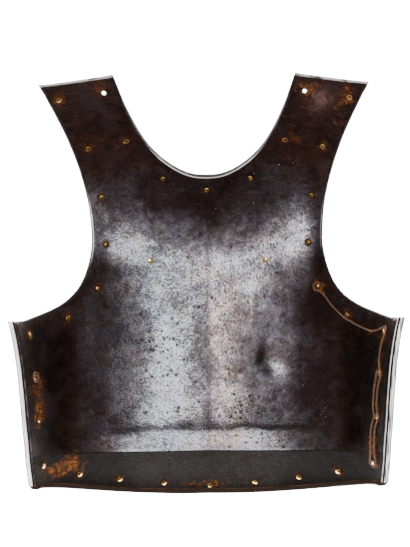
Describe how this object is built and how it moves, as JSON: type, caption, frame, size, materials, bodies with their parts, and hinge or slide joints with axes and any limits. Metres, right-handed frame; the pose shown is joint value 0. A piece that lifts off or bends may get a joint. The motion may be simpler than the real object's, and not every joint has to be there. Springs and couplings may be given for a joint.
{
  "type": "cuirass breastplate",
  "caption": "Domed steel cavalry breastplate with a medial ridge, flared waist, rolled rims, brass-headed border rivets and two strap studs, lying on its front with the hollow upwards.",
  "frame": {"origin": "middle of the bounding box on the floor that the breastplate's convex front lies on", "axes": "+Y from the waist towards the neck, +Z out of the hollow, from the chest towards where the wearer's back would be, +X towards the armhole that is on the right as the hollow is looked into from above with the neck up"},
  "size_m": [0.3894, 0.4308, 0.1453],
  "materials": {
    "plate_steel": "forged steel, grey and grained in the middle, browned and rust-spotted towards its sides, polished outside",
    "rivet_brass": "domed brass heads, their hammered ends dull inside the plate",
    "stud_brass": "turned brass, worn bright on the button",
    "lining_wire": "thin iron wire, rusted brown"
  },
  "bodies": {
    "root": {"breastplate": "plate_steel", "lining_wire": "lining_wire", "rivet_arm_end_left": "rivet_brass", "rivet_arm_end_right": "rivet_brass", "rivet_arm_side_left": "rivet_brass", "rivet_arm_side_right": "rivet_brass", "rivet_armhole_1_left": "rivet_brass", "rivet_armhole_1_right": "rivet_brass", "rivet_armhole_2_left": "rivet_brass", "rivet_armhole_2_right": "rivet_brass", "rivet_armhole_3_left": "rivet_brass", "rivet_armhole_3_right": "rivet_brass", "rivet_armhole_4_left": "rivet_brass", "rivet_armhole_4_right": "rivet_brass", "rivet_neck_centre": "rivet_brass", "rivet_neck_low_left": "rivet_brass", "rivet_neck_low_right": "rivet_brass", "rivet_neck_side_left": "rivet_brass", "rivet_neck_side_right": "rivet_brass", "rivet_side_1_left": "rivet_brass", "rivet_side_1_right": "rivet_brass", "rivet_side_2_left": "rivet_brass", "rivet_side_2_right": "rivet_brass", "rivet_side_3_left": "rivet_brass", "rivet_side_3_right": "rivet_brass", "rivet_side_4_left": "rivet_brass", "rivet_side_4_right": "rivet_brass", "rivet_waist_1_left": "rivet_brass", "rivet_waist_1_right": "rivet_brass", "rivet_waist_2_left": "rivet_brass", "rivet_waist_2_right": "rivet_brass", "rivet_waist_3_left": "rivet_brass", "rivet_waist_3_right": "rivet_brass", "rivet_waist_centre": "rivet_brass", "strap_stud_left": "stud_brass", "strap_stud_right": "stud_brass", "wire_loop": "lining_wire"}
  },
  "joints": []
}
